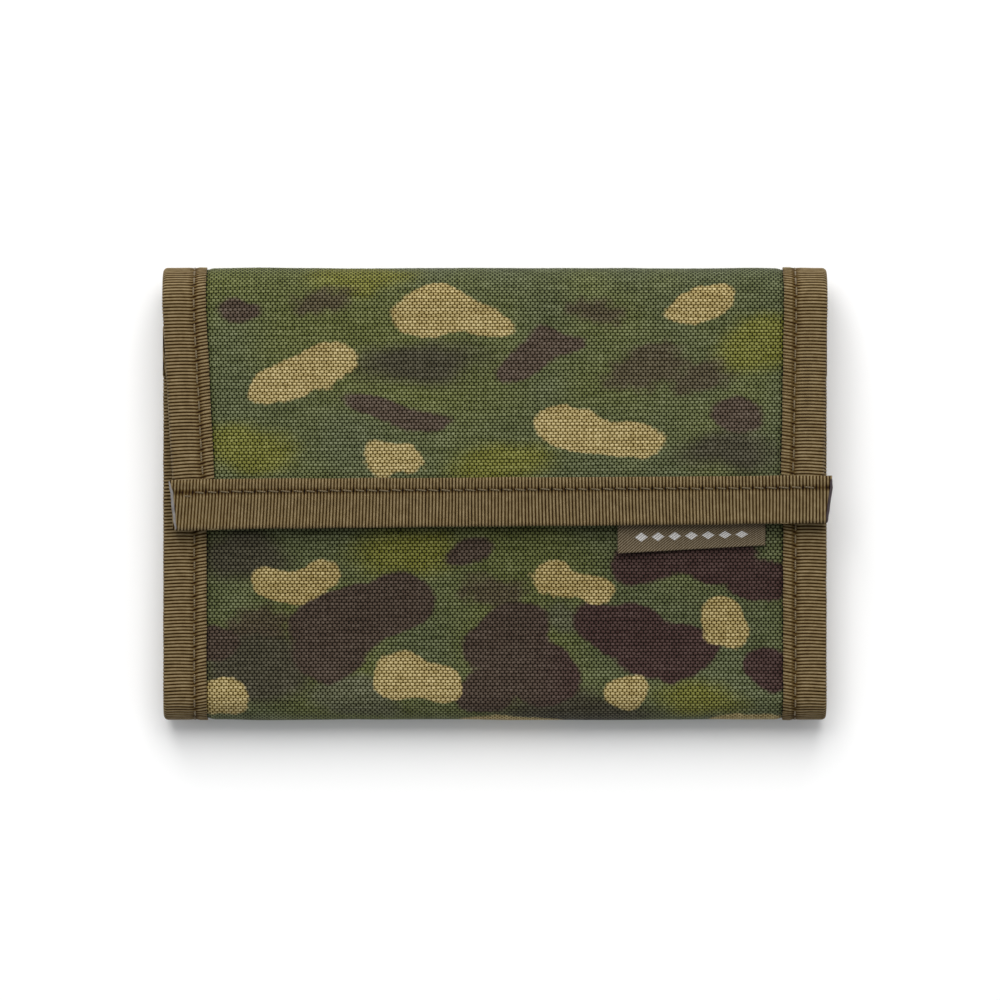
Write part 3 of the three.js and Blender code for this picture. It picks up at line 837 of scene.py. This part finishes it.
for side, label in ((-1, "left"), (1, "right")):
    for section in SECTIONS:
        s0, s1 = SECTIONS[section][0]
        length = abs(s1 - s0)
        s = np.linspace(s0, s1, int(round(length / RIB * 5)) + 1)
        w, depth, out_w, out_d = rounded_path(SIDE_LEG, tape_depth(s), 0.85, 12)
        w = np.broadcast_to(w, depth.shape)
        rows = np.broadcast_to(s[:, None], depth.shape)
        # The seam pulls the tape in, and the lip beyond it stands up and swings with each stitch.
        seam = np.exp(-((w - SEAM_INSET) / 0.42) ** 2)
        lip = 1 - step(w, SEAM_INSET - 0.5, SEAM_INSET + 0.2)
        swing = 2 * math.pi * rows / STITCH
        scallop = 0.05 * np.cos(swing) + 0.1 * wander(rows, rows * 0, 3.1, 61 + side)
        bow = 0.22 * np.sin(math.pi * np.clip(w / SIDE_LEG, 0, 1)) + 0.14 * w / SIDE_LEG
        slip = lip * (0.35 + 0.9 * (1 - w / SEAM_INSET) + 0.1 * np.sin(swing))
        phase = (rows + bow + 0.06 * wander(rows, w, 5.0, 66)) / RIB + slip
        crest = ribs(phase)
        lift = 0.16 * (crest - 0.85) - 0.15 * seam + 0.08 * lip * (1 - seam)
        lift = lift + 0.05 * wander(rows, w, 4.0, 71 + side)
        outer_w = w + out_w * lift - lip * scallop * (1 - w / SEAM_INSET).clip(0, 1)
        outer_d, inner_d = depth + out_d * lift + 0.06, depth - out_d * TAPE_LAP + 0.06
        outer = place(side * (TAPE_INNER + outer_w), rows, outer_d)
        inner = place(side * (TAPE_INNER + w - out_w * TAPE), rows, inner_d)
        # The rib field is lowered along the seam for painted shade in its groove, and the holes get
        # painted shade.
        fields = rib_fields(phase, crest * (1 - 0.5 * seam), 0.6 * needle_holes(w, rows))
        uv = tape_uv(w, depth, 1, rows)
        tape = slab(f"side_tape_{section}_{label}", outer, inner, uv, fields)
        kind = "{}_binding_" + label
        finish_section(tape, section, "grosgrain_tape", TAPE_CLOTH, kind, SIDE_TAPE_FLAT, length)


# -------- stitching

ON_STITCH = np.linspace(-1, 1, 9)  # points along a stitch
DIVE = np.abs(ON_STITCH) ** 3.2  # how it goes into the cloth at its ends


def seam_paths(xs, ss, depth, way=(0.0, 1.0), flip=1):
    """Stitches at these points of the strip. Each runs along way, which is its x and s."""
    half = 1.075
    x = xs[:, None] + way[0] * half * ON_STITCH
    s = ss[:, None] + way[1] * half * ON_STITCH
    return place(x, s, depth + flip * 0.36 * DIVE)


def stitch_positions(s0, s1, margin=0.6):
    first = math.ceil((min(s0, s1) + margin) / STITCH)
    last = math.floor((max(s0, s1) - margin) / STITCH)
    return np.arange(first, last + 1) * STITCH


seam_x = TAPE_INNER + SEAM_INSET
for section in SECTIONS:
    s = stitch_positions(*SECTIONS[section][0])
    jitter = 0.08 * wander(s, s * 0, 2.2, 81)
    strands = []
    for side in (-1, 1):
        strands.append(seam_paths(side * (seam_x + jitter), s, 0.1))
        inner_depth = tape_depth(s)[:, None] - 0.03
        strands.append(seam_paths(side * (seam_x + jitter), s, inner_depth, flip=-1))
    stitches = capsules(f"side_stitches_{section}", np.concatenate(strands), 0.16)
    dress(stitches, THREAD)
    bend(stitches)


# -------- tapes over the two free edges

def edge_tape(name, end_s, inward, half, thick, base_depth, samples, tail=0.0):
    """Tape folded over a free edge. inward is +1 if s grows from the edge into the panel."""
    xs = np.linspace(-half, half + tail, int(round(2 * half / RIB * samples)) + 1)
    corner = min(0.9, thick / 2.2)
    w, depth, out_w, out_d = rounded_path(EDGE_LEG, np.full(len(xs), thick), corner, 12)
    w = np.broadcast_to(w, depth.shape)
    slant = np.clip(xs[:, None] - half + 1, 0, None) / (1 + tail) * TAIL_SLANT * tail
    cols = xs[:, None] - slant * w / EDGE_LEG
    seam = np.exp(-((w - SEAM_INSET) / 0.4) ** 2)
    lip = 1 - step(w, SEAM_INSET - 0.4, SEAM_INSET + 0.2)
    lean = 0.14 * w * np.clip(-cols / EDGE, -0.2, 1)
    phase = (cols + lean + 0.06 * wander(cols, w, 6.0, 91)) / RIB
    crest = ribs(phase)
    lift = 0.16 * (crest - 0.85) - 0.13 * seam + 0.05 * lip + 0.08 * wander(cols, w, 7.0, 93)
    wave = 0.16 * wander(cols, cols * 0, 9.0, 95) * lip
    outer_w = w + out_w * lift - wave * (1 - w / SEAM_INSET).clip(0, 1)

    def at(across, down):
        return place(cols, end_s + inward * (EDGE_LEG - across), base_depth + depth + down)

    outer, inner = at(outer_w, out_d * lift), at(w - out_w * TAPE, -out_d * TAPE_LAP)
    # The rib field is lowered along the seam for painted shade in its groove, and the holes get
    # painted shade.
    fields = rib_fields(phase, crest * (1 - 0.4 * seam), 0.75 * needle_holes(w, cols))
    return slab(name, outer, inner, tape_uv(w, depth, thick / 2, cols), fields)


def edge_seam(name, end_s, inward, half, depths, body, left_rise=0.0):
    """Stitches on both faces of an edge tape. At the left they can climb towards the edge."""
    xs = stitch_positions(-half, half, 1.2)
    rise = left_rise * np.clip((-xs - half + 7) / 6, 0, 1) ** 2
    s = end_s + inward * (EDGE_LEG - SEAM_INSET + rise) + 0.07 * wander(xs, xs * 0, 3.0, 97)
    paths = [seam_paths(xs, s, depth, (1.0, 0.13), flip) for depth, flip in zip(depths, (1, -1))]
    stitches = capsules(name, np.concatenate(paths), 0.15)
    dress(stitches, EDGE_THREAD)
    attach(stitches, body)


FLAP_TAIL = 1.1  # the flap's tape is cut a little long at the right
TAIL_SLANT = 0.7  # and aslant, by this share of it
FLAP_BASE = -0.5  # how far the flap's edge tape stands out of the fabric's face
flap_half = box_mm("flap_edge_binding")[1][0]
tape = edge_tape("flap_edge_tape", FLAP_END, -1, flap_half, 3.4, FLAP_BASE, 5, FLAP_TAIL)
flat = (0.0225, (2 * flap_half + FLAP_TAIL) * MM)
stand_in(tape, TAPE_CLOTH, "grosgrain_tape", "flap_edge_binding", "flap", flat, "folded")
edge_seam("flap_edge_stitches", FLAP_END, -1, flap_half, (FLAP_BASE, 2.92), "flap", -2.2)

tape = edge_tape("front_edge_tape", FRONT_END, 1, EDGE, 5.6, -0.45, 4)
flat = (0.0245, 2 * EDGE * MM)
stand_in(tape, TAPE_CLOTH, "grosgrain_tape", "front_edge_binding", "front", flat, "folded")
edge_seam("front_edge_stitches", FRONT_END, 1, EDGE, (-0.4, 5.08), "front")


def cut_end(name, x, lean, material):
    """The melted line along a cut end of the flap's edge tape, on the face that shows."""
    t = np.linspace(0, 1, 60)
    w = 0.25 + (EDGE_LEG - 0.5) * t
    x = x + 0.2 * wander(w, w * 0, 1.1, 101) + lean * t
    depth = FLAP_BASE + 0.1 + 0.05 * wander(w, w * 0, 0.9, 103)
    obj = capsules(name, place(x, FLAP_END - (EDGE_LEG - w), depth)[None], 0.3, 10, 0.6)
    dress(obj, material)
    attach(obj, "flap")


pale = melted("melted_end_pale", (80, 76, 74), (150, 146, 144))
dark = melted("melted_end_dark", (30, 22, 26), (70, 58, 62))
cut_end("flap_tape_end_left", -flap_half - 0.1, 0.6, pale)
cut_end("flap_tape_end_right", flap_half + FLAP_TAIL - 0.1, -TAIL_SLANT * FLAP_TAIL, dark)


# -------- label, hook and loop

def flap_s(y):
    return FLAP_START + TOP_Y - y


def front_s(y):
    return FRONT_START - (y - BOTTOM_Y)


low, high = label_low, label_high
x, y = np.meshgrid(np.linspace(low[0], high[0], 110), np.linspace(high[1], low[1], 46))
hang = np.clip((FLAP_EDGE + 0.6 - y) / 5.2, 0, 1)      # 0 in the seam and 1 at the free edge
tilt = 0.055 * (x - low[0]) * hang
curl = 0.25 * np.cos((x - low[0]) / (high[0] - low[0]) * math.pi * 1.6) * hang
seam_z = FLAP_FACE - SETTLE - 0.7 * 3.2
outer = np.stack([x, y + tilt, seam_z + curl - 0.15 * hang], -1)
label = slab("label", outer, outer - np.array([0, 0, 0.33]), np.stack([x, y], -1))
stand_in(label, TWILL, "label_cloth", "woven_label", "flap", box_flat(low, high), "hung")


def pile_cloth(name, node, material, body, s_of_y, face, back, rough, seed):
    """Hook or loop cloth: a sheet between two depths whose face is a field of small tufts."""
    low, high = box_mm(node)
    x, y = np.meshgrid(np.arange(low[0], high[0], 0.5), np.arange(low[1], high[1], 0.5))
    tuft = rough * wander(x, y, 0.9, seed) + 0.5 * rough * wander(x, y, 2.0, seed + 1)
    to_edge = np.minimum(np.minimum(x - low[0], high[0] - x), np.minimum(y - low[1], high[1] - y))
    outer = place(x, s_of_y(y), face + tuft * step(to_edge, 0.0, 1.5))
    inner = place(x, s_of_y(y), back)
    obj = slab(name, outer, inner, np.stack([x, y], -1))
    stand_in(obj, material, "hook_and_loop", node, body, box_flat(low, high))


pile_cloth("loop_cloth", "loop_patch", LOOP, "front", front_s, -1.15, -0.1, 0.12, 111)
pile_cloth("hook_cloth", "hook_patch", HOOK, "flap", flap_s, 2.65, 2.0, 0.1, 121)


# -------- pockets

def mitred(x, y, low, high):
    """Pockets as wide as the wallet are cut in beside the bottom fold, clear of its tapes."""
    inset = max(high[0] - TAPE_INNER + 0.3, 0.0)
    return x * (1 - inset / high[0] * (1 - np.clip((y - low[1]) / 5.0, 0, 1)))


def pocket_sheet(name, node, body, cloth=POCKET_CLOTH, sized=True):
    """A flat pocket piece in its CAD box, with a soft surface."""
    low, high = box_mm(node)
    xs, ys = (np.linspace(low[i], high[i], int(high[i] - low[i])) for i in (0, 1))
    x, y = np.meshgrid(xs, ys)
    u = np.clip((x - low[0]) / (high[0] - low[0]), 0, 1)
    if node == "bill_pocket_panel":
        x = mitred(x, y, low, high)
    soft = 0.05 * wander(x, y, 9.0, 131) * step(np.minimum(u, 1 - u), 0, 0.08)
    outer = np.stack([x, y, high[2] - 0.04 + soft], -1)
    inner = np.stack([x, y, low[2] + 0.04 + soft], -1)
    obj = slab(name, outer, inner, np.stack([x, y], -1))
    stand_in(obj, cloth, "lining_cloth", node, body, box_flat(low, high) if sized else None)


pocket_sheet("banknote_pocket", "bill_pocket_panel", "back")
pocket_sheet("card_pocket_back", "card_pocket_rear", "back")
pocket_sheet("card_pocket_front", "card_pocket_middle", "back")


def holed(name, node, hole, body):
    """A pocket sheet with a rectangular hole: x from and to, then y from and to."""
    low, high = box_mm(node)
    hx0, hx1, hy0, hy1 = hole
    line = np.linspace
    xs = np.concatenate([line(low[0], hx0, 8), line(hx0, hx1, 90)[1:-1], line(hx1, high[0], 8)])
    ys = np.concatenate([line(low[1], hy0, 16), line(hy0, hy1, 20)[1:-1], line(hy1, high[1], 20)])
    x, y = np.meshgrid(xs, ys)
    if node == "coin_pocket_panel":
        x = mitred(x, y, low, high)
    soft = 0.02 * wander(x, y, 8.0, 141)
    rows, cols = x.shape
    top = np.stack([x, y, high[2] - 0.03 + soft], -1).reshape(-1, 3)
    bottom = np.stack([x, y, low[2] + 0.03 + soft], -1).reshape(-1, 3)
    index = np.arange(rows * cols).reshape(rows, cols)
    mid_x, mid_y = (xs[:-1] + xs[1:]) / 2, (ys[:-1] + ys[1:]) / 2
    in_x = (mid_x > hx0) & (mid_x < hx1)
    in_y = (mid_y > hy0) & (mid_y < hy1)
    keep = np.pad(~(in_x[None, :] & in_y[:, None]), 1)      # with a border of nothing
    under = rows * cols
    faces = []
    for r, c in np.argwhere(keep[1:-1, 1:-1]):
        a, b, d, e = index[r, c], index[r, c + 1], index[r + 1, c + 1], index[r + 1, c]
        faces += [(a, b, d, e), (a + under, e + under, d + under, b + under)]
        for p, q, dr, dc in ((a, b, -1, 0), (b, d, 0, 1), (d, e, 1, 0), (e, a, 0, -1)):
            if not keep[r + 1 + dr, c + 1 + dc]:
                faces.append((q, p, p + under, q + under))
    used, faces = np.unique(faces, return_inverse=True)
    points = np.concatenate([top, bottom])[used]
    obj = make(name, points, faces.reshape(-1, 4).tolist(), points[:, :2])
    area = ((high[0] - low[0]) * (high[1] - low[1]) - (hx1 - hx0) * (hy1 - hy0)) * MM * MM
    flat = box_flat(low, high)
    stand_in(obj, POCKET_CLOTH, "lining_cloth", node, body, flat, area=area)


frame_low, frame_high = box_mm("id_window_frame")
window_hole = (frame_low[0] + 6, frame_high[0] - 6, frame_low[1] + 6, frame_high[1] - 6)
holed("window_frame", "id_window_frame", window_hole, "back")

stop_low = box_mm("zip_stop_left")[0]
stop_high = box_mm("zip_stop_right")[1]
zip_y = (stop_low[1] + stop_high[1]) / 2
slot_hole = (stop_low[0] - 0.3, stop_high[0] + 0.3, zip_y - 4.5, zip_y + 4.5)
holed("coin_pocket", "coin_pocket_panel", slot_hole, "front")


def bound_edge(name, node, body):
    """Tape folded over a pocket's top edge, ribs up the tape."""
    low, high = box_mm(node)
    length, width, thick = high - low
    xs = np.linspace(low[0], high[0], int(length / RIB * 4))
    w, depth, out_w, out_d = rounded_path(width, np.full(len(xs), thick), thick / 2.2, 10)
    w = np.broadcast_to(w, depth.shape)
    cols = np.broadcast_to(xs[:, None], depth.shape)
    crest = ribs(cols / RIB)
    lift = 0.08 * (crest - 1)
    outer = np.stack([cols, low[1] + w + out_w * lift, high[2] - depth - out_d * lift], -1)
    inner = np.stack([cols, low[1] + w - out_w * TAPE, high[2] - depth + out_d * TAPE_LAP], -1)
    fields = rib_fields(cols / RIB, crest, crest * 0)
    obj = slab(name, outer, inner, np.stack([w, cols], -1), fields)
    flat = ((2 * width + thick) * MM, length * MM)
    stand_in(obj, TAPE_CLOTH, "grosgrain_tape", node, body, flat, "folded")


bound_edge("banknote_pocket_tape", "bill_pocket_binding", "back")


def line_of_stitches(name, lines, body, material=THREAD, facing=1):
    """Straight runs of stitches. Each line is from, to and a height; facing is +1 up or -1 down."""
    strands = []
    for (x0, y0), (x1, y1), z in lines:
        length = math.hypot(x1 - x0, y1 - y0)
        count = int(length / STITCH)
        dx, dy = (x1 - x0) / length, (y1 - y0) / length
        height = z + facing * (0.08 - 0.3 * DIVE)
        for k in range(count):
            at = (k + 0.5) * length / count + 0.95 * ON_STITCH
            strands.append(np.stack([x0 + dx * at, y0 + dy * at, height], -1))
    stitches = capsules(name, np.array(strands), 0.13)
    dress(stitches, material)
    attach(stitches, body)


def seams(node, inset, sides):
    """Lines of stitching along these sides of a pocket piece: bottom, top, left and right."""
    low, high = box_mm(node)
    x0, x1, y0, y1, z = low[0] + inset, high[0] - inset, low[1] + inset, high[1] - inset, high[2]
    runs = {
        "b": ((x0, y0), (x1, y0), z), "t": ((x0, y1), (x1, y1), z),
        "l": ((x0, y0), (x0, y1), z), "r": ((x1, y0), (x1, y1), z),
    }
    return [runs[side] for side in sides]


card_seams = seams("card_pocket_rear", 1.2, "t") + seams("card_pocket_middle", 1.2, "t")
note_low, note_high = box_mm("bill_pocket_binding")
note_y = note_low[1] + 1.6
note_seam = ((note_low[0] + 1, note_y), (note_high[0] - 1, note_y), note_high[2])
line_of_stitches("window_stitches", seams("id_window_frame", 1.4, "blr"), "back")
line_of_stitches("card_stitches", card_seams, "back")
line_of_stitches("banknote_stitches", [note_seam], "back", EDGE_THREAD)


# -------- zip

coin_z = box_mm("coin_pocket_panel")[0][2]
coin_seams = [
    ((slot_hole[0], y), (slot_hole[1], y), coin_z) for y in (slot_hole[2] - 1.5, slot_hole[3] + 1.5)
]
line_of_stitches("coin_stitches", coin_seams, "front", facing=-1)

COIL = zip_coil()
for name, away in (("upper", 1), ("lower", -1)):
    pocket_sheet(f"zip_cloth_{name}", f"zip_tape_{name}", "front", ZIP_CLOTH, sized=False)
    node = f"zip_teeth_{name}"
    low, high = box_mm(node)
    middle, wide = (low + high) / 2, high[1] - low[1]
    t = np.linspace(0, 1, 13)
    loop_y = middle[1] - away * wide * 0.36 * np.cos(2 * math.pi * t)
    loop_z = middle[2] + 0.24 * np.sin(2 * math.pi * t)
    starts = np.arange(low[0] + 0.5, high[0] - 0.5, 1.15)
    strands = [np.stack([start + 0.75 * t, loop_y, loop_z], -1) for start in starts]
    teeth = capsules(f"zip_coil_{name}", np.array(strands), 0.17, 8, 0.1)
    stand_in(teeth, COIL, "zip_coil", node, "front")

METAL = zip_metal()
for node in ("zip_slider", "zip_pull", "zip_stop_left", "zip_stop_right"):
    paint(bpy.data.objects[node], METAL)
paint(bpy.data.objects["id_window_film"], clear_film())


# -------- floor, light and camera

FLOOR_Z = -0.0002
bpy.ops.mesh.primitive_grid_add(
    x_subdivisions=8, y_subdivisions=8, size=4, location=(0, 0, FLOOR_Z),
)
floor = bpy.context.object
floor.name = "floor"
floor.data.materials.append(floor_paper())
floor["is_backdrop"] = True

COOL = (0.97, 0.985, 1.0)
world = bpy.data.worlds.new("studio")
world.use_nodes = True
background = world.node_tree.nodes["Background"].inputs
background["Color"].default_value = (*COOL, 1)
background["Strength"].default_value = 0.38
scene = bpy.context.scene
scene.world = world


def softbox(name, place_at, size, watts, colour):
    """A rectangular light that faces the middle of the wallet."""
    light = bpy.data.lights.new(name, "AREA")
    light.shape = "RECTANGLE"
    light.size, light.size_y = size
    light.energy = watts
    light.color = colour
    obj = bpy.data.objects.new(name, light)
    obj.location = place_at
    obj.rotation_euler = (-Vector(place_at)).to_track_quat("-Z", "Y").to_euler()
    scene.collection.objects.link(obj)


softbox("key", (-0.05, 0.72, 0.86), (1.0, 1.1), 15.2, (1.0, 0.99, 0.97))
softbox("fill_left", (-0.7, 0.15, 0.7), (0.8, 0.8), 1.0, COOL)
softbox("fill_right", (0.7, 0.15, 0.7), (0.8, 0.8), 1.2, COOL)

SENSOR = 36
DISTANCE = 1.5
FIELD = 0.1967  # what the picture is across, at the height of the flap
camera_data = bpy.data.cameras.new("camera")
camera_data.sensor_width = SENSOR
camera_data.lens = SENSOR * DISTANCE / FIELD
camera_data.clip_end = 10
camera = bpy.data.objects.new("camera", camera_data)
camera.location = (0.001, -0.0012, FLAP_FACE * MM + DISTANCE)
scene.collection.objects.link(camera)
scene.camera = camera
scene.view_settings.view_transform = "Standard"

low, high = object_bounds()
